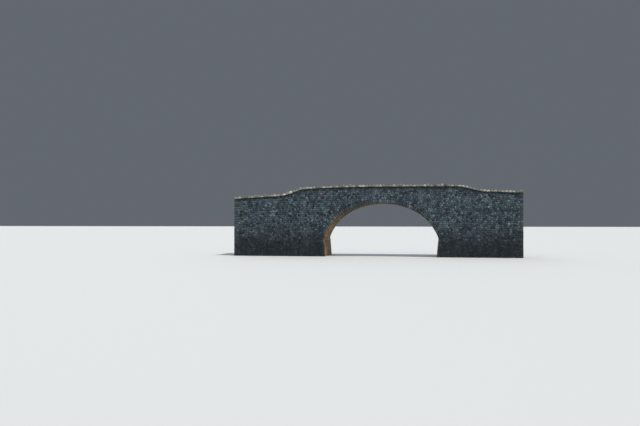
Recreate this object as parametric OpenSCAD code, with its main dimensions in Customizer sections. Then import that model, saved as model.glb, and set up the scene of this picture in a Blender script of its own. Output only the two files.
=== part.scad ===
// Stone arch bridge: one three-centred span with ramped parapets and a coping of rough stones.
// Millimetres, X along the bridge, the river face looks along -Y, Z = 0 is the lowest ground contact.

/* [Arch] */
// Height of the arch's underside at the crown
arch_crown_z = 6700; // [6200:20:7000]
// Radius of the underside over the crown
crown_r = 9300; // [8500:100:12000]
// Radius of the underside over each haunch
haunch_r = 6350; // [6000:50:7400]
// Angle from the vertical at which the crown arc meets the haunch arc
crown_ang = 23; // [12:0.5:28]
// Angle from the vertical at which the arch springs
spring_ang = 70; // [62:0.5:74]
// Depth of the arch ring, underside to back
ring_t = 450; // [350:10:550]
// Wanted width of a ring stone along the underside
voussoir_w = 270; // [200:5:400]
// Open joint between two ring stones
voussoir_gap = 12; // [6:1:30]
// How far the ring stones stand out of the wall face
ring_proud = 30; // [5:1:50]

/* [Abutments] */
// Length of an abutment along the bridge, from the springing back
abutment_l = 2300; // [1800:10:3200]
// How far the foot of an abutment reaches into the opening past the springing
abutment_batter = 200; // [0:10:400]
// Height of the springer course under the springing
springer_h = 400; // [250:10:600]

/* [Walls and roadway] */
// Length over the two ends of the walls
bridge_l = 35840; // [33000:20:44000]
// How far the crown of the arch stands to the right of the bridge's middle
crown_x = 800; // [0:10:1500]
// Width over the two wall faces
bridge_w = 5400; // [3600:50:6400]
// Thickness of the face walls and parapets
wall_t = 450; // [350:10:600]
// Level of the roadway over the crown
deck_crown_z = 7800; // [7500:10:8400]
// Thickness of the road surface
deck_t = 180; // [120:10:250]
// Fall of the roadway from the crown to the left end of the span
span_fall_left = 220; // [50:10:400]
// Fall of the roadway from the crown to the right end of the span
span_fall_right = 40; // [0:10:400]
// Thickness of the end walls between the approach walls
end_wall_t = 450; // [300:10:700]

/* [Approaches] */
// Length over which a parapet sweeps down from the span to the approach
ramp_l = 3200; // [2000:50:4000]
// Fall of the roadway from the span to the left end
approach_fall_left = 520; // [100:10:800]
// Fall of the roadway from the span to the right end
approach_fall_right = 340; // [100:10:800]

/* [Parapets and coping] */
// Height of the parapet over the span, roadway to coping bed
parapet_h = 900; // [600:10:1100]
// Height of the parapet on the left approach, roadway to coping bed
parapet_h_left = 210; // [150:10:550]
// Height of the parapet on the right approach, roadway to coping bed
parapet_h_right = 410; // [150:10:550]
// Wanted spacing of the coping stones
coping_pitch = 420; // [320:10:600]
// Gap between two coping stones at their beds
coping_gap = 30; // [25:1:60]
// Usual height of a coping stone
coping_h = 255; // [150:5:320]
// Most that a coping stone is lower or taller than usual
coping_vary = 45; // [0:5:80]
// How much taller the few tallest coping stones are
coping_tall = 80; // [0:5:140]
// How far the coping stones stand out over the wall faces and ends
coping_over = 80; // [20:5:100]
// Most that a coping stone is turned on its bed
coping_turn = 1.5; // [0:0.1:2]

/* [Hidden] */

// Sides of the bridge
LEFT = -1;
RIGHT = 1;
FRONT = -1;
BACK = 1;

// Colours as seen
STONE = [0.43, 0.47, 0.50];
RING = [0.47, 0.49, 0.50];
SOFFIT = [0.55, 0.47, 0.36];
COPING = [0.70, 0.68, 0.64];
ROAD = [0.60, 0.57, 0.52];
EARTH = [0.45, 0.39, 0.32];

half_w = bridge_w / 2;
core_half_w = half_w - wall_t;

// Centres of the crown arc and of the right haunch arc
crown_cz = arch_crown_z - crown_r;
haunch_cx = (crown_r - haunch_r) * sin(crown_ang);
haunch_cz = crown_cz + (crown_r - haunch_r) * cos(crown_ang);

// Point of the arch at an angle from the vertical, a depth into the ring
function arch_centre(a) = abs(a) <= crown_ang ? [0, crown_cz] : [sign(a) * haunch_cx, haunch_cz];
function arch_radius(a) = abs(a) <= crown_ang ? crown_r : haunch_r;
function arch_point(a, depth) = arch_centre(a) + (arch_radius(a) + depth) * [sin(a), cos(a)];

// Joints between ring stones, an odd number over the crown so that a keystone sits in the middle
crown_stones = 2 * floor(crown_r * crown_ang * PI / 180 / voussoir_w) + 1;
haunch_stones = round(haunch_r * (spring_ang - crown_ang) * PI / 180 / voussoir_w);
crown_joints = [for (i = [0:(crown_stones - 1) / 2]) crown_ang * (2 * i + 1) / crown_stones];
haunch_joints = [for (i = [1:haunch_stones]) crown_ang + (spring_ang - crown_ang) * i / haunch_stones];
half_joints = concat(crown_joints, haunch_joints);
all_joints = concat([for (i = [len(half_joints) - 1:-1:0]) -half_joints[i]], half_joints);

springing = arch_point(spring_ang, 0);
skewback = arch_point(spring_ang, ring_t);
key_back_z = arch_point(half_joints[0], ring_t)[1];
springer_z = springing[1] - springer_h;

// Distances from the crown to the ends of the span and of the bridge
span_half = springing[0] + abutment_l;
function end_of(side) = bridge_l / 2 - sign(side) * crown_x;

// Roadway level at a place along the bridge: curved over the span, straight past it
function span_fall(side) = side < 0 ? span_fall_left : span_fall_right;
function approach_fall(side) = side < 0 ? approach_fall_left : approach_fall_right;
function over_span(x) = min(1, abs(x) / span_half);
function past_span(x) = max(0, abs(x) - span_half) / (end_of(x) - span_half);
function deck_z(x) =
    deck_crown_z - span_fall(x) * pow(over_span(x), 2) - approach_fall(x) * past_span(x);

// Level of the coping's bed, which sweeps down past the span
function low_parapet_h(side) = side < 0 ? parapet_h_left : parapet_h_right;
function sweep(x) = max(0, min(1, (abs(x) - span_half) / ramp_l));
function ease(t) = t * t * (3 - 2 * t);
function bed_z(x) = deck_z(x) + parapet_h + (low_parapet_h(x) - parapet_h) * ease(sweep(x));

// Places from the crown out where the roadway line bends
span_steps = 12;
span_x = [for (i = [0:span_steps]) span_half * i / span_steps];
function approach_x(side) = [span_half, end_of(side)];

// Places where the coping stones of the span and of an approach meet
span_copings = round(2 * span_half / coping_pitch);
span_bed_x = [for (i = [0:span_copings]) span_half * (2 * i / span_copings - 1)];
function approach_copings(side) = round((end_of(side) - span_half) / coping_pitch);
function approach_bed_x(side) = [
    for (i = [0:approach_copings(side)])
        between(span_half, end_of(side), i / approach_copings(side))
];

function reversed(list) = [for (i = [len(list) - 1:-1:0]) list[i]];
function mirrored(list, side) = [for (x = list) side * x];
function road_line(xs, down = 0) = [for (x = xs) [x, deck_z(x) - down]];
function bed_line(xs) = [for (x = xs) [x, bed_z(x)]];
function between(p, q, f) = p + (q - p) * f;

// An outline drawn in X and Z, as thick as the reach from y0 to y1
module slab(outline, y0, y1, x0 = crown_x) {
    translate([x0, y1, 0])
        rotate([90, 0, 0])
            linear_extrude(y1 - y0)
                polygon(outline);
}

// The same outline as a face wall, on the front or the back
module face_wall(outline, face) {
    y0 = face == FRONT ? -half_w : core_half_w;
    slab(outline, y0, y0 + wall_t);
}

// Mass of masonry under the springing, with a leaning river face
module abutment(side) {
    lean = abutment_batter * (1 - springer_z / springing[1]);
    color(STONE)
        slab([
            [side * (springing[0] - abutment_batter), 0],
            [side * span_half, 0],
            [side * span_half, springer_z],
            [side * (springing[0] - lean), springer_z]
        ], -half_w, half_w);
}

// Course with the sloping seat on which the arch stands
module springer(side) {
    lean = abutment_batter * (1 - springer_z / springing[1]);
    color(STONE)
        slab([
            [side * (springing[0] - lean), springer_z],
            [side * span_half, springer_z],
            [side * span_half, skewback[1]],
            [side * skewback[0], skewback[1]],
            [side * springing[0], springing[1]]
        ], -half_w, half_w);
}

// Part of the barrel between the two face rings, over a list of joints
module vault(joints) {
    under = [for (a = joints) arch_point(a, 0)];
    back = [for (a = reversed(joints)) arch_point(a, ring_t)];
    color(SOFFIT)
        slab(concat(under, back), -core_half_w, core_half_w);
}

// Wedge-shaped stones of the face ring
module arch_ring(face) {
    y0 = face == FRONT ? -half_w - ring_proud : core_half_w;
    color(RING)
        for (i = [0:len(all_joints) - 2]) {
            under_0 = arch_point(all_joints[i], 0);
            under_1 = arch_point(all_joints[i + 1], 0);
            back_0 = arch_point(all_joints[i], ring_t);
            back_1 = arch_point(all_joints[i + 1], ring_t);
            half_gap = voussoir_gap / 2 / norm(under_1 - under_0);
            f0 = i == 0 ? 0 : half_gap;
            f1 = i == len(all_joints) - 2 ? 1 : 1 - half_gap;
            slab([
                between(under_0, under_1, f0),
                between(under_0, under_1, f1),
                between(back_0, back_1, f1),
                between(back_0, back_1, f0)
            ], y0, y0 + wall_t + ring_proud);
        }
}

// Outline over the ring's back and the springer, up to a line of the roadway
function over_arch(side, down) = concat(
    [[0, key_back_z]],
    [for (a = half_joints) [side * arch_point(a, ring_t)[0], arch_point(a, ring_t)[1]]],
    [[side * span_half, skewback[1]]],
    road_line(mirrored(reversed(span_x), side), down)
);

// Outline of an approach, from the ground up to a line of the roadway
function under_road(xs, side, down) = concat(
    [[side * xs[0], 0]],
    road_line(mirrored(xs, side), down),
    [[side * xs[len(xs) - 1], 0]]
);

module spandrel(face, side) {
    color(STONE)
        face_wall(over_arch(side, 0), face);
}

module approach_wall(face, side) {
    color(STONE)
        face_wall(under_road(approach_x(side), side, 0), face);
}

module end_wall(side) {
    xs = [end_of(side) - end_wall_t, end_of(side)];
    color(STONE)
        slab(under_road(xs, side, deck_t), -core_half_w, core_half_w);
}

module arch_fill(side) {
    color(EARTH)
        slab(over_arch(side, deck_t), -core_half_w, core_half_w);
}

module approach_fill(side) {
    xs = [span_half, end_of(side) - end_wall_t];
    color(EARTH)
        slab(under_road(xs, side, deck_t), -core_half_w, core_half_w);
}

module deck(xs) {
    color(ROAD)
        slab(concat(road_line(xs), road_line(reversed(xs), deck_t)), -core_half_w, core_half_w);
}

module parapet(face, road_xs, bed_xs) {
    color(STONE)
        face_wall(concat(road_line(road_xs), reversed(bed_line(bed_xs))), face);
}

// Rough stone on a flat bed of length l, tapering upwards and rounded along and across
module coping_stone(l, h, lean, depth) {
    shoulder = 0.05 * l;
    half_d = depth / 2;
    intersection() {
        slab([
            [0, 0],
            [l, 0],
            [l - shoulder, 0.60 * h],
            [(0.80 + lean) * l, 0.91 * h],
            [(0.52 + lean) * l, h],
            [(0.24 + lean) * l, 0.92 * h],
            [shoulder, 0.56 * h]
        ], -half_d, half_d, 0);
        translate([-l, 0, 0])
            rotate([90, 0, 90])
                linear_extrude(3 * l)
                    polygon([
                        [-half_d, 0],
                        [half_d, 0],
                        [0.95 * half_d, 0.58 * h],
                        [(0.60 + lean) * half_d, 0.90 * h],
                        [lean * half_d, 1.02 * h],
                        [(-0.62 + lean) * half_d, 0.93 * h],
                        [-0.96 * half_d, 0.52 * h]
                    ]);
    }
}

// How far a coping stone reaches past a place: over the bridge's end, or short of its neighbour
function reach_past(x) = abs(x) > end_of(x) - 1 ? coping_over : -coping_gap / 2;

// Row of coping stones, each bedded on its own stretch of the parapet's top
module coping(face, bed_xs, seed) {
    count = len(bed_xs) - 1;
    heights = rands(-1, 1, count, seed);
    leans = rands(-0.10, 0.10, count, seed + 1);
    turns = rands(-coping_turn, coping_turn, count, seed + 2);
    row_y = face * (half_w - wall_t / 2);
    color(COPING)
        for (i = [0:count - 1]) {
            bed_0 = [bed_xs[i], bed_z(bed_xs[i])];
            bed_1 = [bed_xs[i + 1], bed_z(bed_xs[i + 1])];
            bed = bed_1 - bed_0;
            over_0 = reach_past(bed_xs[i]);
            over_1 = reach_past(bed_xs[i + 1]);
            tall = heights[i] > 0.75 ? coping_tall : 0;
            turn = max(over_0, over_1) > 0 ? 0 : face * turns[i];
            l = norm(bed) + over_0 + over_1;
            translate([crown_x + bed_0[0], row_y, bed_0[1]])
                rotate([0, -atan2(bed[1], bed[0]), 0])
                    translate([l / 2 - over_0, 0, 0])
                        rotate([0, 0, turn])
                            translate([-l / 2, 0, 0])
                                coping_stone(
                                    l,
                                    coping_h + coping_vary * heights[i] + tall,
                                    leans[i],
                                    wall_t + 2 * coping_over
                                );
        }
}

span_road_x = concat(mirrored(reversed(span_x), LEFT), [for (x = span_x) if (x > 0) x]);
left_road_x = mirrored(reversed(approach_x(LEFT)), LEFT);
right_road_x = approach_x(RIGHT);
left_bed_x = mirrored(reversed(approach_bed_x(LEFT)), LEFT);
right_bed_x = approach_bed_x(RIGHT);
left_joints = [for (a = all_joints) if (a <= -crown_ang) a];
crown_span_joints = [for (a = all_joints) if (abs(a) <= crown_ang) a];
right_joints = [for (a = all_joints) if (a >= crown_ang) a];

abutment(LEFT);  // abutment_left
abutment(RIGHT);  // abutment_right
springer(LEFT);  // springer_left
springer(RIGHT);  // springer_right
vault(left_joints);  // vault_left
vault(crown_span_joints);  // vault_crown
vault(right_joints);  // vault_right
arch_ring(FRONT);  // arch_ring_front
arch_ring(BACK);  // arch_ring_back
spandrel(FRONT, LEFT);  // spandrel_front_left
spandrel(FRONT, RIGHT);  // spandrel_front_right
spandrel(BACK, LEFT);  // spandrel_back_left
spandrel(BACK, RIGHT);  // spandrel_back_right
approach_wall(FRONT, LEFT);  // approach_wall_front_left
approach_wall(FRONT, RIGHT);  // approach_wall_front_right
approach_wall(BACK, LEFT);  // approach_wall_back_left
approach_wall(BACK, RIGHT);  // approach_wall_back_right
end_wall(LEFT);  // end_wall_left
end_wall(RIGHT);  // end_wall_right
approach_fill(LEFT);  // fill_left_approach
arch_fill(LEFT);  // fill_left
arch_fill(RIGHT);  // fill_right
approach_fill(RIGHT);  // fill_right_approach
deck(left_road_x);  // deck_left
deck(span_road_x);  // deck_centre
deck(right_road_x);  // deck_right
parapet(FRONT, left_road_x, left_bed_x);  // parapet_front_left
parapet(FRONT, span_road_x, span_bed_x);  // parapet_front_centre
parapet(FRONT, right_road_x, right_bed_x);  // parapet_front_right
parapet(BACK, left_road_x, left_bed_x);  // parapet_back_left
parapet(BACK, span_road_x, span_bed_x);  // parapet_back_centre
parapet(BACK, right_road_x, right_bed_x);  // parapet_back_right
coping(FRONT, left_bed_x, 11);  // coping_front_left
coping(FRONT, span_bed_x, 23);  // coping_front_centre
coping(FRONT, right_bed_x, 37);  // coping_front_right
coping(BACK, left_bed_x, 11);  // coping_back_left
coping(BACK, span_bed_x, 23);  // coping_back_centre
coping(BACK, right_bed_x, 37);  // coping_back_right
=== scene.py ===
import math
import random

import bmesh
import bpy
import numpy as np
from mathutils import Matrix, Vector, kdtree, noise


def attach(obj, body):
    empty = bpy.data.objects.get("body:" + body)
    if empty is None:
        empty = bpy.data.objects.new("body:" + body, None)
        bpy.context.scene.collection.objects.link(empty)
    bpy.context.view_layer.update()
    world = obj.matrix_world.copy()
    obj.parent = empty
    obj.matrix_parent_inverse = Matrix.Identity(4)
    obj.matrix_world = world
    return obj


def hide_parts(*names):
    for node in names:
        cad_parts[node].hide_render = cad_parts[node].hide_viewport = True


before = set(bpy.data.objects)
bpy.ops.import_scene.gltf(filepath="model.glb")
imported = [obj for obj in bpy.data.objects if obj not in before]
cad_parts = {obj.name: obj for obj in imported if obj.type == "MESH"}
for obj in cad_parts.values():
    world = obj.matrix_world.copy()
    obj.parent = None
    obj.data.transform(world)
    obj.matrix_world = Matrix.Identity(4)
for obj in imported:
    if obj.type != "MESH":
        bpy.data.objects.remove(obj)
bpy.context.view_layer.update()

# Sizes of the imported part, in metres
BRIDGE_L, CROWN_X = 35.84, 0.8
HALF_W = 2.7
INNER_Y = 2.25
CROWN_Z, CROWN_R, HAUNCH_R = 6.7, 9.3, 6.35
CROWN_ANGLE, SPRING_ANGLE = math.radians(23), math.radians(70)
RING_T = 0.45
VOUSSOIR_W = 0.27
ABUTMENT_L = 2.3
ABUTMENT_BATTER = 0.2
RAMP_L = 3.2
DECK_CROWN_Z = 7.8
PARAPET_H = 0.9

# The two sides of the crown and the two long faces, with the words in the names of their pieces
SIDES = ((-1, "left"), (1, "right"))
LONG_FACES = ((-1, "front"), (1, "back"))

# Sizes that differ between the left (-1) and the right (1) approach
SPAN_FALL = {-1: 0.22, 1: 0.04}
APPROACH_FALL = {-1: 0.52, 1: 0.34}
LOW_PARAPET_H = {-1: 0.21, 1: 0.41}

# Rubble: height of a stone and its length to its height, half a joint, depth set into the wall
STONE_H = 0.25
STRETCH = 1.2
JOINT = 0.011
SUNK = 0.03
# How far the faces of stones stand out of the wall, and those by the road, at the river and overhead
RISE = (0.016, 0.036)
ROADSIDE_RISE = (0.012, 0.030)
RIVER_RISE = (0.012, 0.028)
SOFFIT_RISE = (0.010, 0.026)

# Layout of rubble, in heights of a stone: shift off the grid, share of seeds with a small stone
# beside them and its shift, room kept to an edge, and spread of the weights, in heights squared
SHIFT = 0.36
SMALL_SHARE = 0.13
SMALL_SHIFT = 0.3
EDGE_ROOM = 0.3
WEIGHT = 0.1
# Shares of a seed's place and of its stone's middle in the place that it moves to
RELAX = (0.3, 0.7)
# Neighbours that can bound a stone, and the smallest area that is laid, in square metres
NEIGHBOURS = 18
LEAST_AREA = 0.004
NEARLY_ZERO = 1e-6

# Points round a stone's rim, share of a side that is cut off a corner, and the angle of a sharp edge
RIM_POINTS = 14
CORNER_CUT = 0.2
SQUARE_CORNER_CUT = 0.14
CREASE = math.radians(48)
# Steepest tilt of a stone's face, and how uneven its rims, their heights and its top are
STEEPEST = 0.35
RIM_WOBBLE = (0.965, 1.0)
HEIGHT_WOBBLE = (0.86, 1.06)
TOP_WOBBLE = (0.98, 1.12)

# Corner stones: heights, the most left for the top one, long and short arms, how far they stand out
COURSE_H = (0.24, 0.36)
TOP_COURSE_H = 0.42
LONG_ARM = (0.46, 0.56)
SHORT_ARM = (0.30, 0.38)
CORNER_PROUD = (0.028, 0.044)
# Distance of the free rubble from a corner, and of a stone's middle from the corner stone beside it
CORNER_REACH = 0.62
BESIDE = 0.15
# How far a course may rise over the top of the rubble and still be filled up
COURSE_SLACK = 0.05

# Underside: shift of each course, lengths of its stones, the most that is left for the last one and
# the least that isn't added to the one before
SOFFIT_SHIFT = (-0.12, 0.1)
SOFFIT_L = (0.26, 0.58)
SOFFIT_LEFT = 0.35
SOFFIT_LEAST = 0.12

# Coping: how many corners are broken off a stone, and at what share of the way to them
CHIPS = (3, 6)
CHIP_AT = (0.66, 0.84)
# How far the parapets' inside faces stop from the ends, in metres
PARAPET_CLEAR = 0.36
# Size and share of the finer part of a rough block's unevenness
FINER = 0.4
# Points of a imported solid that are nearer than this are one, in metres
MERGED = 0.0005

# Steps along the arch, the coping's bed on a face, and the foot and the top of a parapet's inside
ARCH_STEPS, FACE_STEPS = 60, 90
INSIDE_STEPS = (80, 120)

# Road: rise over the deck, heaps along the parapets, wheel tracks and the grid of its surface
ROAD_RISE = 0.026
HEAP_W, HEAP_H = 0.5, 0.030
TRACK_Y, TRACK_W, TRACK_DEPTH = 0.85, 0.28, 0.012
ROAD_ROWS, ROAD_COLUMNS = 359, 41
# Gap to the parapets, depth set into the deck, and its dips as height, waves and place in the noise
ROAD_EDGE = 0.002
ROAD_SUNK = 0.02
ROAD_DIPS = ((0.007, 2.1, 3.0), (0.004, 9, 8.0))
# Loose stones: how many, half sizes, distance to an edge, spread from there and height of the middle
PEBBLES = 700
PEBBLE_SIZES = ((0.020, 0.055), (0.018, 0.045), (0.012, 0.028))
PEBBLE_EDGE = 0.1
PEBBLE_SPREAD = 0.3
PEBBLE_PROUD = 0.4

# Reach of the underside's colours round the edge of the opening, tan with painted reflected light, in
# metres
EDGE_FADE = 0.09
# Reach of the dark band below the coping, a dirt stain with the coping's painted shadow, in metres
DRIP_AND_SHADOW_FADE = 0.38

# Seeds of what is laid at random, to which a piece's side, face or number is added
SEEDS = {
    "coping": 31, "corners": 60, "end": 400, "long": 101, "pebbles": 710, "ring": 21, "river": 300,
    "road": 700, "roadside": 500, "soffit": 600,
}

CROWN_CZ = CROWN_Z - CROWN_R
HAUNCH_CX = (CROWN_R - HAUNCH_R) * math.sin(CROWN_ANGLE)
HAUNCH_CZ = CROWN_CZ + (CROWN_R - HAUNCH_R) * math.cos(CROWN_ANGLE)


def arch_point(angle, depth=0.0):
    """Point (x, z) of the arch at an angle from the vertical, a depth into its ring."""
    if abs(angle) <= CROWN_ANGLE:
        cx, cz, radius = 0.0, CROWN_CZ, CROWN_R + depth
    else:
        cx, cz, radius = math.copysign(HAUNCH_CX, angle), HAUNCH_CZ, HAUNCH_R + depth
    return cx + radius * math.sin(angle), cz + radius * math.cos(angle)


SPRING_X, SPRING_Z = arch_point(SPRING_ANGLE)
SKEW_Z = arch_point(SPRING_ANGLE, RING_T)[1]
SPAN_HALF = SPRING_X + ABUTMENT_L

# Stones are laid out from the crown, which stands at CROWN_X, so the two ends aren't equally far
END_X = {side: BRIDGE_L / 2 - side * CROWN_X for side in (-1, 1)}


def deck_z(x):
    """Level of the deck, which falls in a curve over the span and straight past it."""
    side = -1 if x < 0 else 1
    over_span = min(1.0, abs(x) / SPAN_HALF)
    past_span = max(0.0, abs(x) - SPAN_HALF) / (END_X[side] - SPAN_HALF)
    return DECK_CROWN_Z - SPAN_FALL[side] * over_span ** 2 - APPROACH_FALL[side] * past_span


def bed_z(x):
    """Level of the coping's bed on the parapets."""
    t = min(1.0, max(0.0, (abs(x) - SPAN_HALF) / RAMP_L))
    low = LOW_PARAPET_H[-1 if x < 0 else 1]
    return deck_z(x) + PARAPET_H + (low - PARAPET_H) * t * t * (3 - 2 * t)


def river_x(z):
    """Distance from the crown's axis to the leaning river face of an abutment."""
    return SPRING_X - ABUTMENT_BATTER * (1 - z / SPRING_Z)


def depth_in_stone(x, z):
    """Distance from a point in the masonry to the nearest side of the opening."""
    x = abs(x)
    if z < SPRING_Z:
        return x - river_x(z)
    if math.atan2(x, z - CROWN_CZ) <= CROWN_ANGLE:
        return math.hypot(x, z - CROWN_CZ) - CROWN_R
    return math.hypot(x - HAUNCH_CX, z - HAUNCH_CZ) - HAUNCH_R


# Outlines of laid stones


def inside(points, outline):
    """Which of the points lie inside a closed outline."""
    x, y = points[:, 0], points[:, 1]
    found = np.zeros(len(points), bool)
    for (x0, y0), (x1, y1) in zip(outline, np.roll(outline, -1, axis=0)):
        if y0 != y1:
            crosses = (y0 > y) != (y1 > y)
            found ^= crosses & (x < (x1 - x0) * (y - y0) / (y1 - y0) + x0)
    return found


def nearest(points, line):
    """The nearest point of a polyline to each of the points."""
    start, step = line[:-1], np.diff(line, axis=0)
    along = ((points[:, None] - start) * step).sum(2) / (step * step).sum(1)
    spots = start + np.clip(along, 0, 1)[..., None] * step
    best = ((spots - points[:, None]) ** 2).sum(2).argmin(1)
    return spots[np.arange(len(points)), best]


def cut(polygon, spot, normal):
    """The part of a convex polygon behind a line, which the normal points away from."""
    sides = [(p[0] - spot[0]) * normal[0] + (p[1] - spot[1]) * normal[1] for p in polygon]
    kept = []
    for i, (p, side) in enumerate(zip(polygon, sides)):
        q, before = polygon[i - 1], sides[i - 1]
        if (side <= 0) != (before <= 0):
            f = before / (before - side)
            kept.append((q[0] + (p[0] - q[0]) * f, q[1] + (p[1] - q[1]) * f))
        if side <= 0:
            kept.append(p)
    return kept


def cells(seeds, weights, lines, own_cuts, gap):
    """A convex cell round each seed, a gap short of its neighbours and of the lines.

    The last seeds are those with cuts of their own, along an axis each, and the lines don't cut them."""
    free = len(seeds) - len(own_cuts)
    tree = kdtree.KDTree(len(seeds))
    for i, (x, y) in enumerate(seeds):
        tree.insert((x, y, 0), i)
    tree.balance()
    edges = [nearest(seeds, line) for line in lines]
    reach = 2 * STONE_H
    square = [(-reach, -reach), (reach, -reach), (reach, reach), (-reach, reach)]
    found = []
    for i, (x, y) in enumerate(seeds):
        polygon = [(x + across, y + up) for across, up in square]
        for spot, j, d in tree.find_n((x, y, 0), NEIGHBOURS):
            if j != i and NEARLY_ZERO < d < 2 * reach:
                normal = ((spot[0] - x) / d, (spot[1] - y) / d)
                half = (d * d + weights[i] - weights[j]) / (2 * d) - gap
                polygon = cut(polygon, (x + normal[0] * half, y + normal[1] * half), normal)
        for edge in (edges if i < free else ()):
            dx, dy = edge[i][0] - x, edge[i][1] - y
            d = math.hypot(dx, dy)
            if NEARLY_ZERO < d < 2 * reach:
                normal = (dx / d, dy / d)
                spot = (edge[i][0] - normal[0] * gap, edge[i][1] - normal[1] * gap)
                polygon = cut(polygon, spot, normal)
        for spot, normal in (own_cuts[i - free] if i >= free else ()):
            polygon = cut(polygon, spot, normal)
        found.append(polygon)
    return found


def centroid(polygon):
    """Middle and area of a polygon."""
    p = np.array(polygon)
    q = np.roll(p, -1, axis=0)
    cross = p[:, 0] * q[:, 1] - q[:, 0] * p[:, 1]
    area = cross.sum() / 2
    if abs(area) < NEARLY_ZERO:
        return p.mean(0), 0.0
    return ((p + q) * cross[:, None]).sum(0) / (6 * area), area


def rubble(outline, lines, rng, fixed=()):
    """Outlines of random rubble over a face, as a list of polygons.

    lines are the polylines that stones stop at. fixed holds (point, cuts) of stones that have a
    place and cuts of their own outside the outline."""
    squeeze = np.array([1 / STRETCH, 1.0])
    outline = np.array(outline) * squeeze
    lines = [np.array(line) * squeeze for line in lines]

    low, high = outline.min(0), outline.max(0)
    seeds = []
    for row in range(int((high[1] - low[1]) / STONE_H) + 2):
        for col in range(int((high[0] - low[0]) / STONE_H) + 2):
            x = low[0] + (col + 0.5 * (row % 2) + rng.uniform(-SHIFT, SHIFT)) * STONE_H
            y = low[1] + (row + 0.5 + rng.uniform(-SHIFT, SHIFT)) * STONE_H
            seeds.append((x, y))
            if rng.random() < SMALL_SHARE:
                seeds.append((x + 0.5 * STONE_H, y + rng.uniform(-SMALL_SHIFT, SMALL_SHIFT) * STONE_H))
    seeds = np.array(seeds)
    keep = inside(seeds, outline)
    for line in lines:
        keep &= np.linalg.norm(nearest(seeds, line) - seeds, axis=1) > EDGE_ROOM * STONE_H
    seeds = seeds[keep]
    free = len(seeds)
    weights = [rng.uniform(-WEIGHT, WEIGHT) * STONE_H * STONE_H for _ in seeds] + [0.0] * len(fixed)
    own_cuts = []
    for point, cuts in fixed:
        seeds = np.vstack([seeds, np.array(point) * squeeze])
        own_cuts.append([(np.array(spot) * squeeze, normal) for spot, normal in cuts])
    found = cells(seeds, weights, lines, own_cuts, 0.0)
    moved = np.array([centroid(p)[0] if len(p) > 2 else s for p, s in zip(found, seeds)])
    seeds[:free] = RELAX[0] * seeds[:free] + RELAX[1] * moved[:free]
    found = cells(seeds, weights, lines, own_cuts, JOINT)
    kept = [np.array(p) / squeeze for p in found if len(p) > 2]
    return [p for p in kept if centroid(p)[1] > LEAST_AREA]


def rounded(polygon, corner):
    """A rim of RIM_POINTS points round a polygon whose corners are cut off twice."""
    p = np.array(polygon)
    for _ in range(2):
        q = np.roll(p, -1, axis=0)
        p = np.stack([p + (q - p) * corner, q + (p - q) * corner], 1).reshape(-1, 2)
    ring = np.vstack([p, p[:1]])
    along = np.concatenate([[0], np.cumsum(np.linalg.norm(np.diff(ring, axis=0), axis=1))])
    places = np.linspace(0, along[-1], RIM_POINTS, endpoint=False)
    return np.stack([np.interp(places, along, ring[:, k]) for k in (0, 1)], 1)


# Meshes


class Stones:
    """Points, faces and per-stone shades that are gathered into one mesh."""

    def __init__(self):
        self.points, self.faces, self.tints, self.tones = [], [], [], []
        self.count = 0

    def add(self, points, faces, rng):
        """One more stone, in a random shade of its own."""
        self.points.append(points)
        self.faces.extend([[self.count + i for i in face] for face in faces])
        self.tints.append(np.full(len(points), rng.random()))
        self.tones.append(np.full(len(points), rng.random()))
        self.count += len(points)

    def piece(self, name, slot, material, flip=False, edged=False):
        """One mesh of all the stones, with how near each point is to the coping.

        An edged one also holds how near its points are to the opening."""
        points = np.vstack(self.points)
        shades = {"tint": np.concatenate(self.tints), "tone": np.concatenate(self.tones)}
        # How far each point lies below the coping, for the dirt stain and the coping's painted shadow
        drops = [bed_z(x) - z for x, _, z in points]
        shades["drip_and_shadow"] = [1 - min(1.0, max(0.0, drop / DRIP_AND_SHADOW_FADE)) ** 2 for drop in drops]
        if edged:
            # How near the points are to the opening, where the tan with painted reflected light goes
            depths = [depth_in_stone(x, z) for x, _, z in points]
            shades["under"] = [1 - min(1.0, max(0.0, depth / EDGE_FADE)) for depth in depths]
        mesh = bpy.data.meshes.new(name)
        faces = [face[::-1] for face in self.faces] if flip else self.faces
        mesh.from_pydata((points + (CROWN_X, 0, 0)).tolist(), [], faces)
        for key, values in shades.items():
            made = mesh.attributes.new(key, "FLOAT", "POINT")
            made.data.foreach_set("value", np.array(values, np.float32))
        return finished(name, mesh, material)


def finished(name, mesh, material):
    """A smooth-shaded piece of the bridge with its material, riding on the frame."""
    mesh.polygons.foreach_set("use_smooth", [True] * len(mesh.polygons))
    mesh.set_sharp_from_angle(angle=CREASE)
    mesh.materials.append(material)
    mesh.update()
    obj = bpy.data.objects.new(name, mesh)
    bpy.context.scene.collection.objects.link(obj)
    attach(obj, "root")
    return obj


# Scale and height of a stone's rims: sunk in the mortar, shoulder, brow
RIMS = ((1.0, None), (0.985, 0.55), (0.76, 0.98))


def rim_faces():
    """Faces of a closed stone: its sides from rim to rim, its top round one point, and its back."""
    faces = []
    for low in (0, RIM_POINTS):
        for j in range(RIM_POINTS):
            k = (j + 1) % RIM_POINTS
            faces.append([low + j, low + k, low + RIM_POINTS + k, low + RIM_POINTS + j])
    brow, top = 2 * RIM_POINTS, 3 * RIM_POINTS
    faces += [[brow + j, brow + (j + 1) % RIM_POINTS, top] for j in range(RIM_POINTS)]
    faces.append(list(range(RIM_POINTS - 1, -1, -1)))
    return faces


RIM_FACES = rim_faces()


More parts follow.
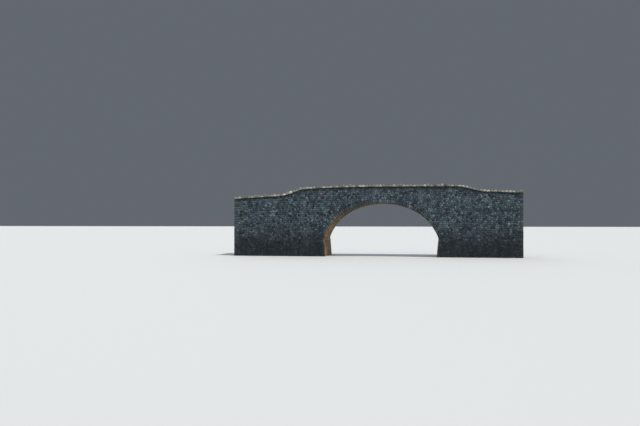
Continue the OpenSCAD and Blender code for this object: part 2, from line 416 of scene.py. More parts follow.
def lay(stones, polygons, place, rng, rises=RISE, corner=CORNER_CUT):
    """Adds a worn stone with a slightly tilted face over each polygon."""
    for polygon in polygons:
        rim = rounded(polygon, corner)
        centre = rim.mean(0)
        arms = rim - centre
        size = np.linalg.norm(arms, axis=1).mean()
        rise = rng.uniform(*rises)
        tilt = np.array([rng.uniform(-STEEPEST, STEEPEST), rng.uniform(-STEEPEST, STEEPEST)])
        points = []
        for scale, level in RIMS:
            for arm in arms:
                u, v = centre + arm * scale * rng.uniform(*RIM_WOBBLE)
                if level is None:
                    h = -SUNK
                else:
                    slope = tilt @ (arm * scale) / size
                    h = rise * level * (1 + slope) * rng.uniform(*HEIGHT_WOBBLE)
                points.append(place(u, v, h))
        points.append(place(centre[0], centre[1], rise * rng.uniform(*TOP_WOBBLE)))
        stones.add(np.array(points), RIM_FACES, rng)


def cube_grid(n):
    """Points and faces of a cube from -1 to 1, each side cut into n by n."""
    index, points, faces = {}, [], []
    for axis in range(3):
        for sign in (-1, 1):
            grid = []
            for i in range(n + 1):
                for j in range(n + 1):
                    p = [0.0, 0.0, 0.0]
                    p[axis] = float(sign)
                    p[(axis + 1) % 3] = -1 + 2 * i / n
                    p[(axis + 2) % 3] = -1 + 2 * j / n
                    key = tuple(round(c * n) for c in p)
                    if key not in index:
                        index[key] = len(points)
                        points.append(p)
                    grid.append(index[key])
            for i in range(n):
                for j in range(n):
                    a, b = i * (n + 1) + j, (i + 1) * (n + 1) + j
                    face = [grid[a], grid[b], grid[b + 1], grid[a + 1]]
                    faces.append(face if sign > 0 else face[::-1])
    return np.array(points), faces


GRID = cube_grid(5)
FINE_GRID = cube_grid(7)
PEBBLE_GRID = cube_grid(2)


def rough_block(centre, half, normals, offsets, rng, grid, sharp, rough, grain=0.16):
    """Points of a stone inside a convex solid of planes, with rounded edges and uneven sides.

    A higher sharp makes the edges tighter, rough is the depth of the unevenness and grain its size."""
    arms = grid[0] * half
    slopes = np.clip(arms @ np.array(normals).T, 0, None) / np.array(offsets)
    scale = (slopes ** sharp).sum(1) ** (-1 / sharp)
    shift = Vector((rng.uniform(0, 50), rng.uniform(0, 50), rng.uniform(0, 50)))
    points = []
    for arm, t in zip(arms, scale):
        p = arm * t
        n = noise.noise(Vector(p) / grain + shift)
        n += FINER * noise.noise(Vector(p) / (FINER * grain) + shift)
        points.append(centre + p * (1 - rough * (0.5 + 0.5 * n)))
    return np.array(points)


def chipped(half, normals, offsets, count, rng):
    """Planes of a stone with some more, which break its upper corners off."""
    normals, offsets = list(normals), list(offsets)
    for _ in range(count):
        aim = np.array([rng.uniform(-1, 1), rng.uniform(-1, 1), rng.uniform(0.1, 1)])
        aim /= np.linalg.norm(aim)
        normals.append(aim)
        offsets.append(np.abs(aim) @ half * rng.uniform(*CHIP_AT))
    return normals, offsets


def islands(node):
    """Middle, half size, outward normals and plane offsets of each separate solid of a CAD node."""
    bm = bmesh.new()
    bm.from_mesh(node.data)
    bmesh.ops.remove_doubles(bm, verts=bm.verts, dist=MERGED)
    bmesh.ops.recalc_face_normals(bm, faces=bm.faces)
    left, found = set(bm.faces), []
    for first in list(bm.faces):
        if first not in left:
            continue
        stack, faces = [first], []
        left.discard(first)
        while stack:
            face = stack.pop()
            faces.append(face)
            for edge in face.edges:
                for other in edge.link_faces:
                    if other in left:
                        left.discard(other)
                        stack.append(other)
        corners = np.array([v.co for v in {v for face in faces for v in face.verts}])
        corners[:, 0] -= CROWN_X
        planes = {tuple(round(c, 2) for c in f.normal): f for f in faces if f.calc_area() > NEARLY_ZERO}
        centre = (corners.min(0) + corners.max(0)) / 2
        normals = np.array([f.normal for f in planes.values()])
        middle = Vector(centre) + Vector((CROWN_X, 0, 0))
        offsets = np.array([f.normal.dot(f.verts[0].co - middle) for f in planes.values()])
        found.append((centre, (corners.max(0) - corners.min(0)) / 2, normals, offsets))
    bm.free()
    found.sort(key=lambda solid: (round(solid[0][0], 4), round(solid[0][2], 4)))
    return found


# Materials

# sRGB colours of stains, growths, mortars, dust and earth; the damp and drip stains also hold painted
# shade, and the warm mortars painted reflected light
DAMP_AND_SHADE = (30, 34, 38)
DRIP_AND_SHADOW = (20, 23, 25)
PALE_LICHEN = (176, 178, 160)
GOLD_LICHEN = (150, 140, 104)
FACE_MORTAR = (54, 63, 68)
# Warm mortars of the river faces and the underside, with painted warm light reflected from below
RIVER_MORTAR_AND_REFLECTED_LIGHT = (118, 98, 74)
SOFFIT_MORTAR_AND_REFLECTED_LIGHT = (124, 103, 78)
DUST = (146, 132, 108)
DARK_EARTH, PALE_EARTH = (78, 62, 46), (112, 92, 68)
# Levels between which the dark foot of the walls, a water stain with painted shade, fades out, and its
# unevenness, in metres
DAMP_AND_SHADE_TO, DRY_AND_LIT_FROM, DAMP_AND_SHADE_EDGE = 1.5, 3.9, 0.9
# Levels between which the underside darkens with painted shade, and what is left of its brightness
CROWN_SHADE_FROM, CROWN_SHADE_TO, CROWN_SHADE_LEFT = 3.2, 5.5, 0.26
SPECULAR = 0.3


def linear(red, green, blue):
    """A colour given in sRGB from 0 to 255."""
    values = [c / 255 for c in (red, green, blue)]
    return [c / 12.92 if c < 0.04045 else ((c + 0.055) / 1.055) ** 2.4 for c in values] + [1.0]


class Nodes:
    """Short calls that build a material's node tree."""

    def __init__(self, name):
        self.material = bpy.data.materials.new(name)
        self.material.use_nodes = True
        self.tree = self.material.node_tree
        self.shader = self.tree.nodes["Principled BSDF"]
        self.place = self.add("ShaderNodeTexCoord").outputs["Object"]

    def add(self, kind, inputs=None, **settings):
        """A new node with settings, whose inputs are values or other nodes' outputs."""
        made = self.tree.nodes.new(kind)
        for key, value in settings.items():
            setattr(made, key, value)
        for key, value in (inputs or {}).items():
            if isinstance(value, bpy.types.NodeSocket):
                self.tree.links.new(value, made.inputs[key])
            else:
                made.inputs[key].default_value = value
        return made

    def attribute(self, name):
        """A value that the points of the mesh hold."""
        return self.add("ShaderNodeAttribute", attribute_name=name).outputs["Fac"]

    def noise(self, scale, detail=4.0, roughness=0.55, stretch=None):
        """Noise in the bridge's own place, finer with a larger scale."""
        place = self.place
        if stretch:
            place = self.add("ShaderNodeMapping", {"Vector": place, "Scale": stretch}).outputs[0]
        inputs = {"Vector": place, "Scale": scale, "Detail": detail, "Roughness": roughness}
        return self.add("ShaderNodeTexNoise", inputs).outputs[0]

    def spread(self, value, low, high, start=0.3, end=0.7):
        """Turns start..end of a value into low..high."""
        inputs = {"Value": value, "From Min": start, "From Max": end, "To Min": low, "To Max": high}
        return self.add("ShaderNodeMapRange", inputs).outputs[0]

    def times(self, a, b):
        return self.add("ShaderNodeMath", {0: a, 1: b}, operation="MULTIPLY").outputs[0]

    def plus(self, a, b):
        return self.add("ShaderNodeMath", {0: a, 1: b}, operation="ADD").outputs[0]

    def mix(self, factor, a, b, mode="MIX"):
        """Colour a turned into b by a factor, or multiplied by b."""
        inputs = {0: factor, 6: a, 7: b}
        return self.add("ShaderNodeMix", inputs, data_type="RGBA", blend_type=mode).outputs[2]

    def palette(self, value, shades):
        """One of several colours by share, shades being (share, colour) pairs."""
        ramp = self.add("ShaderNodeValToRGB", {"Fac": value})
        ramp.color_ramp.interpolation = "CONSTANT"
        total, at = sum(share for share, _ in shades), 0.0
        for i, (share, colour) in enumerate(shades):
            stops = ramp.color_ramp.elements
            stop = stops[i] if i < 2 else stops.new(at)
            stop.position = at
            stop.color = linear(*colour)
            at += share / total
        return ramp.outputs["Color"]

    def height(self):
        """Height over the bridge's foot."""
        return self.add("ShaderNodeSeparateXYZ", {0: self.place}).outputs["Z"]

    def finish(self, colour, roughness, bump, distance, strength):
        """The material, with a colour, a roughness and a bump that is distance deep."""
        normal = self.add("ShaderNodeBump", {"Height": bump, "Distance": distance, "Strength": strength})
        self.tree.links.new(colour, self.shader.inputs["Base Color"])
        self.tree.links.new(roughness, self.shader.inputs["Roughness"])
        self.tree.links.new(normal.outputs[0], self.shader.inputs["Normal"])
        self.shader.inputs["Specular IOR Level"].default_value = SPECULAR
        return self.material


def weathered_and_shaded(nodes, colour, damp_and_shade, streaks, drips_and_shadow):
    """Darkens a colour towards the foot of the walls, a water stain with painted shade, and in runs below
    the coping, a dirt stain with the coping's painted shadow.
    """
    # Painted shade with a water stain: darker towards the foot of the walls
    ragged = nodes.plus(nodes.height(), nodes.spread(nodes.noise(1.1), -DAMP_AND_SHADE_EDGE, DAMP_AND_SHADE_EDGE))
    foot = nodes.spread(ragged, 1.0, 0.0, DAMP_AND_SHADE_TO, DRY_AND_LIT_FROM)
    colour = nodes.mix(nodes.times(foot, damp_and_shade), colour, linear(*DAMP_AND_SHADE))
    colour = nodes.mix(1.0, colour, nodes.spread(nodes.noise(0.5, 3), 0.8, 1.2), "MULTIPLY")
    runs = nodes.noise(2.2, stretch=(1.6, 1.6, 0.16))
    colour = nodes.mix(1.0, colour, nodes.spread(runs, 1 - streaks, 1 + 0.5 * streaks), "MULTIPLY")
    # Dark band below the coping: a dirt stain with the coping's painted shadow
    drip_and_shadow = nodes.times(nodes.attribute("drip_and_shadow"), nodes.spread(runs, 1.0, 0.85))
    return nodes.mix(nodes.times(drip_and_shadow, drips_and_shadow), colour, linear(*DRIP_AND_SHADOW))


def painted_crown_shade(nodes, colour):
    """Paints shade on the underside, darkening its colours towards the crown."""
    # Painted shade: darker the higher it is, towards the crown
    crown_shade = nodes.spread(nodes.height(), 1.0, CROWN_SHADE_LEFT, CROWN_SHADE_FROM, CROWN_SHADE_TO)
    return nodes.mix(1.0, colour, crown_shade, "MULTIPLY")


def stone_material(name, shades, lichen=0.0, damp_and_shade=0.75, streaks=0.25, drips_and_shadow=0.0, tone=0.3, under=None):
    """Stones in a palette of colours, mottled, grained, stained and darkened with painted shade.

    The last argument is the palette of their sides that face the opening, tan with painted warm light
    reflected from below, which no shades leaves alone."""
    n = Nodes(name)
    if shades:
        colour = n.palette(n.attribute("tint"), shades)
    # Sides that face the opening: tan with painted reflected light, and painted shade towards the crown
    if under:
        below = painted_crown_shade(n, n.palette(n.attribute("tint"), under))
        colour = n.mix(n.attribute("under"), colour, below) if shades else below
    colour = n.mix(1.0, colour, n.spread(n.attribute("tone"), 1 - tone, 1 + tone, 0, 1), "MULTIPLY")
    coarse = n.noise(9, 6, 0.62)
    fine = n.noise(70, 4, 0.6)
    colour = n.mix(1.0, colour, n.spread(coarse, 0.74, 1.26), "MULTIPLY")
    colour = n.mix(1.0, colour, n.spread(fine, 0.84, 1.16), "MULTIPLY")
    if lichen:
        spots = n.spread(n.noise(17, 5, 0.7), 0.0, 1.0, 0.60, 0.66)
        colour = n.mix(n.times(spots, lichen), colour, linear(*PALE_LICHEN))
        gold = n.spread(n.noise(11, 5, 0.7), 0.0, 1.0, 0.70, 0.74)
        colour = n.mix(n.times(gold, 0.3 * lichen), colour, linear(*GOLD_LICHEN))
    colour = weathered_and_shaded(n, colour, damp_and_shade, streaks, drips_and_shadow)
    bump = n.plus(n.times(coarse, 1.4), n.times(fine, 0.5))
    return n.finish(colour, n.spread(coarse, 0.74, 0.96), bump, distance=0.016, strength=0.75)


def mortar_material(name, shade, crossing=None, damp_and_shade=0.75, crown_shaded=False):
    """Sandy mortar in one shade, or in a second one on the faces that cross the bridge."""
    n = Nodes(name)
    coarse, sand = n.noise(6, 5, 0.6), n.noise(160, 3, 0.7)
    colour = linear(*shade)
    if crossing:
        normal = n.add("ShaderNodeTexCoord").outputs["Normal"]
        along = n.add("ShaderNodeSeparateXYZ", {0: normal}).outputs["Y"]
        squared = {0: n.times(along, along), 1: 0.5}
        along = n.add("ShaderNodeMath", squared, operation="LESS_THAN").outputs[0]
        # Faces that cross the bridge take the warm mortar with painted reflected light
        colour = n.mix(along, colour, linear(*crossing))
    if crown_shaded:
        # Painted shade, darker towards the crown
        colour = painted_crown_shade(n, colour)
    colour = n.mix(1.0, colour, n.spread(coarse, 0.6, 1.0), "MULTIPLY")
    colour = n.mix(1.0, colour, n.spread(sand, 0.78, 1.22), "MULTIPLY")
    colour = weathered_and_shaded(n, colour, damp_and_shade, 0.2, 0.0)
    bump = n.plus(coarse, n.times(sand, 0.4))
    return n.finish(colour, n.spread(coarse, 0.88, 0.99), bump, distance=0.01, strength=0.8)


def gravel_material(name):
    """Gravel of mixed stones, packed pale along the middle and darker with dirt along the parapets."""
    n = Nodes(name)
    stones = n.add("ShaderNodeTexVoronoi", {"Vector": n.place, "Scale": 34.0})
    shade = n.add("ShaderNodeSeparateColor", {0: stones.outputs["Color"]}).outputs[0]
    colour = n.palette(shade, GRAVEL_SHADES)
    dust = n.noise(1.3, 6, 0.6)
    colour = n.mix(n.spread(dust, 0.25, 0.85), colour, linear(*DUST))
    across = n.add("ShaderNodeSeparateXYZ", {0: n.place}).outputs["Y"]
    across = n.add("ShaderNodeMath", {0: across}, operation="ABSOLUTE").outputs[0]
    across = n.plus(across, n.spread(n.noise(0.9, 4), -0.5, 0.5))
    colour = n.mix(1.0, colour, n.spread(across, 1.14, 0.74, 0.7, 2.1), "MULTIPLY")
    colour = n.mix(1.0, colour, n.spread(n.noise(90, 3, 0.6), 0.82, 1.15), "MULTIPLY")
    bump = n.plus(n.times(stones.outputs["Distance"], -0.9), n.times(n.noise(120, 3, 0.6), 0.3))
    return n.finish(colour, n.spread(dust, 0.86, 0.98), bump, distance=0.02, strength=0.8)


def earth_material(name):
    """Packed earth in two browns."""
    n = Nodes(name)
    clods, grit = n.noise(7, 6, 0.65), n.noise(60, 4, 0.65)
    colour = n.mix(n.spread(clods, 0.0, 1.0), linear(*DARK_EARTH), linear(*PALE_EARTH))
    colour = n.mix(1.0, colour, n.spread(grit, 0.75, 1.25), "MULTIPLY")
    return n.finish(colour, n.spread(grit, 0.9, 1.0), n.plus(clods, grit), distance=0.02, strength=0.8)


# Shades of each kind of stone, as (share, sRGB colour)
# Grey stones with painted shade: the blue cast of a face lit only by a blue sky
FACE_GREYS_WITH_SKY_SHADE = [
    (32, (73, 87, 95)), (20, (53, 64, 74)), (22, (89, 102, 107)), (3, (111, 123, 127)),
    (5, (89, 96, 91)), (5, (79, 77, 86)), (6, (59, 75, 78)), (7, (38, 47, 55)),
]
RING_SHADES = [
    (34, (72, 82, 87)), (24, (60, 70, 76)), (22, (83, 91, 93)), (4, (98, 105, 105)),
    (8, (78, 81, 77)),
]
# Tan of the underside and the river faces, with painted warm light reflected up from the river
SOFFIT_TAN_AND_REFLECTED_LIGHT = [
    (30, (174, 142, 100)), (20, (148, 120, 85)), (20, (190, 160, 118)), (12, (132, 112, 84)),
    (10, (163, 143, 108)), (8, (178, 142, 100)),
]
COPING_SHADES = [
    (28, (135, 134, 122)), (24, (117, 117, 106)), (20, (153, 151, 136)), (14, (99, 100, 92)),
    (8, (129, 124, 106)), (6, (80, 83, 78)),
]
GRAVEL_SHADES = [
    (3, (148, 138, 120)), (3, (128, 122, 110)), (2, (164, 156, 140)), (2, (108, 104, 98)),
    (1, (140, 118, 94)),
]
PEBBLE_SHADES = [
    (3, (150, 142, 126)), (3, (128, 124, 114)), (2, (170, 163, 148)), (2, (112, 110, 106)),
    (1, (146, 124, 100)),
]

face_stone = stone_material("face_stone", FACE_GREYS_WITH_SKY_SHADE, lichen=0.22, damp_and_shade=0.85, drips_and_shadow=1.0, tone=0.34)
corner_stone = stone_material(
    "corner_stone", RING_SHADES, lichen=0.3, drips_and_shadow=0.85, tone=0.28, under=SOFFIT_TAN_AND_REFLECTED_LIGHT
)
ring_stone = stone_material("ring_stone", RING_SHADES, lichen=0.2, tone=0.22, under=SOFFIT_TAN_AND_REFLECTED_LIGHT)
soffit_stone = stone_material(
    "soffit_stone", None, damp_and_shade=0.15, streaks=0.15, tone=0.22, under=SOFFIT_TAN_AND_REFLECTED_LIGHT
)
coping_stone = stone_material("coping_stone", COPING_SHADES, lichen=0.5, damp_and_shade=0.0, tone=0.34)
pebble = stone_material("pebble", PEBBLE_SHADES, damp_and_shade=0.0, streaks=0.0, tone=0.15)
face_mortar = mortar_material("face_mortar", FACE_MORTAR)
abutment_mortar = mortar_material("abutment_mortar", FACE_MORTAR, RIVER_MORTAR_AND_REFLECTED_LIGHT, damp_and_shade=0.4)
# The underside's mortar takes painted shade towards the crown
soffit_mortar = mortar_material("soffit_mortar", SOFFIT_MORTAR_AND_REFLECTED_LIGHT, damp_and_shade=0.2, crown_shaded=True)
gravel = gravel_material("road_gravel")
earth = earth_material("packed_earth")


# Corner stones


def courses(top, rng):
    """Levels of the joints between corner stones, from the ground to the top."""
    levels = [0.0]
    while levels[-1] < top - TOP_COURSE_H:
        levels.append(levels[-1] + rng.uniform(*COURSE_H))
    return levels + [top]


def between_joints(low, high):
    """Foot and top of the stones in a course, which stand on the ground without a joint."""
    return low + (JOINT if low > 0 else 0.0), high - JOINT


def beside(x, low, high, inward):
    """Place and cuts of the stone that fills up a course past a corner stone that ends at x."""
    middle = (low + high) / 2
    foot, top = between_joints(low, high)
    cuts = [((x + inward * JOINT, middle), (-inward, 0)), ((x, top), (0, 1)), ((x, foot), (0, -1))]
    return (x + inward * BESIDE, middle), cuts


class Corner:
    """Stones that turn a corner, by turns long on one face and on the other.

    levels are their joints, edge_x(z) is where the corner stands, and inward points into the wall.
    lean is the slope of the face that crosses the bridge. seat, a point and a normal, is a plane that
    cuts the top stone."""

    def __init__(self, levels, edge_x, inward, rng, lean=0.0, seat=None):
        self.levels, self.edge_x, self.inward, self.lean, self.seat = levels, edge_x, inward, lean, seat
        self.lengths, self.depths = [], []
        for i in range(len(levels) - 1):
            long, short = rng.uniform(*LONG_ARM), rng.uniform(*SHORT_ARM)
            self.lengths.append(long if i % 2 else short)
            self.depths.append(short if i % 2 else long)
        self.proud = [rng.uniform(*CORNER_PROUD) for _ in self.lengths]

    def lay(self, stones, face, rng):
        """Adds the stones on the front (-1) or the back (1) face."""
        for i, (low, high) in enumerate(zip(self.levels, self.levels[1:])):
            edge = self.edge_x((low + high) / 2)
            outer = edge - self.inward * self.proud[i]
            inner = edge + self.inward * (self.lengths[i] - JOINT)
            y_out = face * (HALF_W + self.proud[i])
            y_in = face * (HALF_W - self.depths[i] + JOINT)
            low_z, high_z = between_joints(low, high)
            centre = np.array([(outer + inner) / 2, (y_out + y_in) / 2, (low_z + high_z) / 2])
            half = np.array([abs(outer - inner), abs(y_out - y_in), high_z - low_z]) / 2
            out = np.array((-self.inward, 0, self.lean))
            normals = [out / np.linalg.norm(out), (self.inward, 0, 0)]
            normals += [(0, 1, 0), (0, -1, 0), (0, 0, 1), (0, 0, -1)]
            offsets = [half[0], half[0], half[1], half[1], half[2], half[2]]
            if self.seat and high == self.levels[-1]:
                point, normal = self.seat
                normals.append((normal[0], 0, normal[1]))
                offsets.append((np.array(point) - centre[[0, 2]]) @ normal - JOINT)
            points = rough_block(centre, half, normals, offsets, rng, GRID, sharp=14, rough=0.05)
            points[:, 2] = np.maximum(points[:, 2], low_z)
            stones.add(points, GRID[1], rng)

    def long_neighbours(self):
        """The stones that fill up each course on the long face."""
        return [
            beside(self.edge_x((low + high) / 2) + self.inward * length, low, high, self.inward)
            for low, high, length in zip(self.levels, self.levels[1:], self.lengths)
        ]

    def cross_neighbours(self, top):
        """The stones that fill up each course under a top, on the face that crosses the bridge."""
        return [
            beside(face * (HALF_W - depth), low, high, -face)
            for face in (-1, 1)
            for low, high, depth in zip(self.levels, self.levels[1:], self.depths)
            if high < top + COURSE_SLACK
        ]


# Faces of the bridge

JOINT_COUNT = 2 * int(CROWN_R * CROWN_ANGLE / VOUSSOIR_W) + 1
HAUNCH_COUNT = round(HAUNCH_R * (SPRING_ANGLE - CROWN_ANGLE) / VOUSSOIR_W)
HALF_JOINTS = [CROWN_ANGLE * (2 * i + 1) / JOINT_COUNT for i in range((JOINT_COUNT + 1) // 2)] + [
    CROWN_ANGLE + (SPRING_ANGLE - CROWN_ANGLE) * i / HAUNCH_COUNT for i in range(1, HAUNCH_COUNT + 1)
]
JOINTS = [-a for a in reversed(HALF_JOINTS)] + HALF_JOINTS


def line_x(x0, x1, level, steps):
    """Points along a level that changes with x."""
    return [(x, level(x)) for x in np.linspace(x0, x1, steps)]


def long_face(side):
    """Outline and edges of one half of a long face within its corners, side -1 being the left."""
    ring_back = [arch_point(side * a, RING_T) for a in np.linspace(0, SPRING_ANGLE, ARCH_STEPS)]
    river = [(side * (river_x(z) + CORNER_REACH), z) for z in (SKEW_Z, 0)]
    end_x = side * (END_X[side] - CORNER_REACH)
    ends = [(end_x, 0), (end_x, bed_z(end_x))]
    top = line_x(end_x, 0, bed_z, FACE_STEPS)
    edges = [ring_back, [ring_back[-1], river[0]], river, [river[1], ends[0]], ends, top]
    return ring_back + river + ends + top[1:], edges


def make_long_faces():
    """The two long faces, each laid in one go and split in the middle for two pieces."""
    for face, word in LONG_FACES:
        rng = random.Random(SEEDS["long"] + face)
        left, left_edges = long_face(-1)
        right, right_edges = long_face(1)
        fixed = [stone for corner in CORNERS for stone in corner.long_neighbours()]
        polygons = rubble(right + left[::-1], left_edges + right_edges, rng, fixed)

        def place(u, v, h):
            return u, face * (HALF_W + h), v

        for side, half in SIDES:
            stones, corner_stones = Stones(), Stones()
            lay(stones, [p for p in polygons if side * p[:, 0].mean() > 0], place, rng)
            for corner in CORNERS:
                if side * corner.edge_x(0) > 0:
                    corner.lay(corner_stones, face, rng)
            stones.piece(f"rubble_{word}_{half}", "face_stone", face_stone, flip=face > 0)
            corner_stones.piece(f"corner_stones_{word}_{half}", "face_stone", corner_stone, edged=True)


def cross_face(corner, top, rng):
    """Rubble of a face that crosses the bridge, over y and z, between its corner stones."""
    reach = HALF_W - CORNER_REACH
    corners = [(-reach, 0), (reach, 0), (reach, top), (-reach, top)]
    edges = [[a, b] for a, b in zip(corners, corners[1:] + corners[:1])]
    return rubble(corners, edges, rng, corner.cross_neighbours(top))


def make_river_faces():
    """Rubble of the abutments' faces under the arch."""
    for side, half in SIDES:
        rng = random.Random(SEEDS["river"] + side)

        def place(u, v, h):
            return side * (river_x(v) - h), u, v

        stones = Stones()
        lay(stones, cross_face(RIVER_CORNERS[side], SPRING_Z, rng), place, rng, RIVER_RISE)
        stones.piece(f"rubble_river_{half}", "soffit_stone", soffit_stone, flip=side > 0)


def make_end_faces():
    """Rubble of the two ends."""
    for side, half in SIDES:
        rng = random.Random(SEEDS["end"] + side)

        def place(u, v, h):
            return side * (END_X[side] + h), u, v

        stones = Stones()
        lay(stones, cross_face(END_CORNERS[side], deck_z(side * END_X[side]), rng), place, rng)
        stones.piece(f"rubble_end_{half}", "face_stone", face_stone, flip=side < 0)


def make_parapet_insides():
    """Rubble of the parapets' faces towards the road, short of the corner stones."""
    for face, word in LONG_FACES:
        rng = random.Random(SEEDS["roadside"] + face)
        left, right = PARAPET_CLEAR - END_X[-1], END_X[1] - PARAPET_CLEAR
        low = line_x(left, right, deck_z, INSIDE_STEPS[0])
        high = line_x(right, left, bed_z, INSIDE_STEPS[1])
        ends = [[low[-1], high[0]], [high[-1], low[0]]]
        polygons = rubble(low + high, [low, high] + ends, rng)

        def place(u, v, h):
            return u, face * (INNER_Y - h), v

        stones = Stones()
        lay(stones, polygons, place, rng, ROADSIDE_RISE)
        stones.piece(f"rubble_roadside_{word}", "face_stone", face_stone, flip=face < 0)


def make_soffit():
    """Stones of the underside in courses along the arch's joints, lengths broken at random."""
    rng = random.Random(SEEDS["soffit"])
    stones = Stones()
    for a0, a1 in zip(JOINTS, JOINTS[1:]):
        x0, z0 = arch_point(a0)
        x1, z1 = arch_point(a1)
        width = math.hypot(x1 - x0, z1 - z0)
        breaks = [-INNER_Y - rng.uniform(*SOFFIT_SHIFT)]
        while breaks[-1] < INNER_Y - SOFFIT_LEFT:
            breaks.append(breaks[-1] + rng.uniform(*SOFFIT_L))
        breaks[0] = -INNER_Y
        if INNER_Y - breaks[-1] < SOFFIT_LEAST:
            breaks.pop()
        breaks.append(INNER_Y)

        def place(u, v, h):
            a = a0 + (a1 - a0) * u / width
            x, z = arch_point(a, -h)
            return x, v, z

        near, far = JOINT, width - JOINT
        polygons = [
            [(near, y0 + JOINT), (far, y0 + JOINT), (far, y1 - JOINT), (near, y1 - JOINT)]
            for y0, y1 in zip(breaks, breaks[1:])
        ]
        lay(stones, polygons, place, rng, SOFFIT_RISE, SQUARE_CORNER_CUT)
    stones.piece("rubble_soffit", "soffit_stone", soffit_stone, flip=True)


def make_ring(word, seed):
    """Ring stones, each inside one solid of the ring's node."""
    rng = random.Random(seed)
    stones = Stones()
    for centre, half, normals, offsets in islands(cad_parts[f"arch_ring_{word}"]):
        points = rough_block(centre, half, normals, offsets, rng, GRID, sharp=12, rough=0.05)
        stones.add(points, GRID[1], rng)
    piece = stones.piece(f"ring_stones_{word}", "ring_stone", ring_stone, edged=True)
    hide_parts(f"arch_ring_{word}")


def make_coping(word, half_word, seed):
    """Broken field stones, each inside one solid of the coping's node."""
    rng = random.Random(seed)
    stones = Stones()
    for centre, half, normals, offsets in islands(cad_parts[f"coping_{word}_{half_word}"]):
        normals, offsets = chipped(half, normals, offsets, rng.randint(*CHIPS), rng)
        points = rough_block(
            centre, half, normals, offsets, rng, FINE_GRID, sharp=18, rough=0.07, grain=0.11
        )
        stones.add(points, FINE_GRID[1], rng)
    piece = stones.piece(f"coping_stones_{word}_{half_word}", "coping_stone", coping_stone)
    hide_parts(f"coping_{word}_{half_word}")


def road_heap(y):
    """How much higher the gravel lies along the parapets."""
    return HEAP_H * max(0.0, (abs(y) - INNER_Y + HEAP_W) / HEAP_W) ** 2


def road_z(x, y):
    """Level of the gravel, with two wheel tracks and an uneven surface."""
    track = TRACK_DEPTH * math.exp(-((abs(y) - TRACK_Y) / TRACK_W) ** 2)
    dips = (height * noise.noise(Vector((x * waves, y * waves, at))) for height, waves, at in ROAD_DIPS)
    return deck_z(x) + ROAD_RISE + road_heap(y) - track + sum(dips)


def make_road():
    """Gravel spread over the deck, closed by a skirt and an underside sunk in the deck."""
    rng = random.Random(SEEDS["road"])
    stones = Stones()
    rows, columns = ROAD_ROWS, ROAD_COLUMNS
    xs = np.linspace(-END_X[-1], END_X[1], rows)
    ys = np.linspace(-INNER_Y + ROAD_EDGE, INNER_Y - ROAD_EDGE, columns)
    points = [(x, y, road_z(x, y)) for x in xs for y in ys]
    faces = [
        [i * columns + j, (i + 1) * columns + j, (i + 1) * columns + j + 1, i * columns + j + 1]
        for i in range(rows - 1)
        for j in range(columns - 1)
    ]
    rim = [(i, 0) for i in range(rows)] + [(rows - 1, j) for j in range(1, columns)]
    rim += [(i, columns - 1) for i in range(rows - 2, -1, -1)]
    rim += [(0, j) for j in range(columns - 2, 0, -1)]
    skirt = [i * columns + j for i, j in rim]
    points += [(points[k][0], points[k][1], deck_z(points[k][0]) - ROAD_SUNK) for k in skirt]
    below = rows * columns
    for k in range(len(skirt)):
        m = (k + 1) % len(skirt)
        faces.append([skirt[k], below + k, below + m, skirt[m]])
    foot = {spot: below + k for k, spot in enumerate(rim)}
    for i in range(rows - 1):
        start = range(columns) if i == 0 else (0, columns - 1)
        end = range(columns - 1, -1, -1) if i == rows - 2 else (columns - 1, 0)
        faces.append([foot[i, j] for j in start] + [foot[i + 1, j] for j in end])
    stones.add(np.array(points), faces, rng)
    stones.piece("road_surface", "road_gravel", gravel)


def make_pebbles():
    """Loose stones that carts have thrown to the sides of the road."""
    rng = random.Random(SEEDS["pebbles"])
    stones = Stones()
    cube = np.array([(1, 0, 0), (-1, 0, 0), (0, 1, 0), (0, -1, 0), (0, 0, 1), (0, 0, -1)], float)
    for _ in range(PEBBLES):
        x = rng.uniform(PEBBLE_EDGE - END_X[-1], END_X[1] - PEBBLE_EDGE)
        y = rng.choice((-1, 1)) * (INNER_Y - PEBBLE_EDGE - abs(rng.gauss(0, PEBBLE_SPREAD)))
        half = np.array([rng.uniform(*size) for size in PEBBLE_SIZES])
        offsets = np.repeat(half, 2) * 0.98
        centre = np.array([x, y, deck_z(x) + ROAD_RISE + road_heap(y) + PEBBLE_PROUD * half[2]])
        points = rough_block(centre, half, cube, offsets, rng, PEBBLE_GRID, sharp=3, rough=0.2, grain=0.03)
        stones.add(points, PEBBLE_GRID[1], rng)
    stones.piece("road_pebbles", "road_gravel", pebble)


END_CORNERS, RIVER_CORNERS = {}, {}
for side, _ in SIDES:
    rng = random.Random(SEEDS["corners"] + side)
    levels = courses(deck_z(side * END_X[side]), rng) + [bed_z(side * END_X[side])]
    END_CORNERS[side] = Corner(levels, lambda z, side=side: side * END_X[side], -side, rng)
    END_CORNERS[side].depths[-1] = HALF_W - INNER_Y
    normal = np.array((-side * math.cos(SPRING_ANGLE), math.sin(SPRING_ANGLE)))
    seat = (side * SPRING_X, SPRING_Z), normal
    lean = ABUTMENT_BATTER / SPRING_Z
    levels = courses(SKEW_Z, rng)
    RIVER_CORNERS[side] = Corner(levels, lambda z, side=side: side * river_x(z), side, rng, lean, seat)
    RIVER_CORNERS[side].lengths[-1] = LONG_ARM[1]
CORNERS = [*END_CORNERS.values(), *RIVER_CORNERS.values()]

make_long_faces()
make_river_faces()
make_end_faces()
make_parapet_insides()
make_soffit()
make_road()
make_pebbles()
for i, (_, word) in enumerate(LONG_FACES):
    make_ring(word, SEEDS["ring"] + i)
for i, (_, word) in enumerate(LONG_FACES):
    for j, half_word in enumerate(("left", "centre", "right")):
        make_coping(word, half_word, SEEDS["coping"] + 3 * i + j)

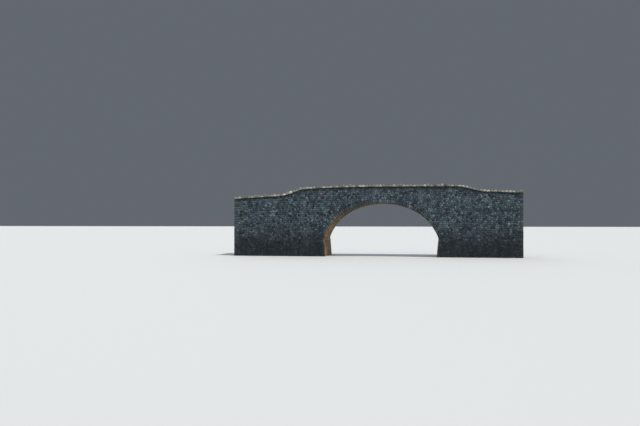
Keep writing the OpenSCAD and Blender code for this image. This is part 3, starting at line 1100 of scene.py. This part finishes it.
# Solids that stay in view as the mortar bed, the road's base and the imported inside
BEDS = {
    "vault": soffit_mortar, "abutment": abutment_mortar, "springer": abutment_mortar,
    "deck": gravel, "fill": earth,
}
for node_name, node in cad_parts.items():
    bed = BEDS.get(node_name.split("_")[0], face_mortar)
    node.data.materials.clear()
    node.data.materials.append(bed)


# Floor, light and camera

FLOOR_SIZE = 900
FLOOR_SHADE = (192, 192, 190)
WORLD_COLOUR = (0.78, 0.87, 1.0, 1.0)
WORLD_STRENGTH = 0.16

# Suns: name, strength, angle in degrees, colour and direction that it stands in
SUNS = (
    ("key", 3.2, 4, (1.0, 0.95, 0.88), (0.42, -0.25, 1.0)),
    ("dome", 1.5, 170, (0.70, 0.84, 1.0), (0.0, 0.0, 1.0)),
    ("fill", 0.6, 60, (0.9, 0.95, 1.0), (-0.5, 1.0, 0.5)),
)

# The photograph's view: lens and sensor in millimetres, place in metres, turn and tilt in degrees
LENS, SENSOR_W = 39.375, 36.0
EYE = (7.114 + CROWN_X, -86.761 - HALF_W, 4.475)
TURN, TILT = 9.611, 0.636
FARTHEST = 1000


def make_floor():
    """A plain pale floor."""
    bpy.ops.mesh.primitive_plane_add(size=FLOOR_SIZE)
    floor = bpy.context.object
    floor.name = "floor"
    n = Nodes("floor")
    n.tree.nodes.remove(n.tree.nodes["Texture Coordinate"])
    n.shader.inputs["Base Color"].default_value = linear(*FLOOR_SHADE)
    n.shader.inputs["Roughness"].default_value = 0.9
    floor.data.materials.append(n.material)


def make_sun(name, energy, angle, colour, towards):
    """A light from far away in a direction, softer the wider its angle in degrees."""
    lamp = bpy.data.lights.new(name, "SUN")
    lamp.energy = energy
    lamp.angle = math.radians(angle)
    lamp.color = colour
    sun = bpy.data.objects.new(name, lamp)
    bpy.context.scene.collection.objects.link(sun)
    sun.rotation_euler = Vector(towards).to_track_quat("Z", "Y").to_euler()


def make_light():
    """A key that grazes the front from above and the right, a soft bluish dome and a fill behind."""
    world = bpy.data.worlds.new("studio")
    bpy.context.scene.world = world
    world.use_nodes = True
    background = world.node_tree.nodes["Background"]
    background.inputs["Color"].default_value = WORLD_COLOUR
    background.inputs["Strength"].default_value = WORLD_STRENGTH
    for settings in SUNS:
        make_sun(*settings)


def make_camera():
    """A camera at the photograph's view."""
    data = bpy.data.cameras.new("camera")
    data.sensor_width = SENSOR_W
    data.lens = LENS
    data.clip_end = FARTHEST
    camera = bpy.data.objects.new("camera", data)
    camera.location = EYE
    camera.rotation_euler = (math.radians(90 + TILT), 0, math.radians(TURN))
    bpy.context.scene.collection.objects.link(camera)
    bpy.context.scene.camera = camera


make_floor()
make_light()
make_camera()
bpy.context.scene.view_settings.view_transform = "Standard"
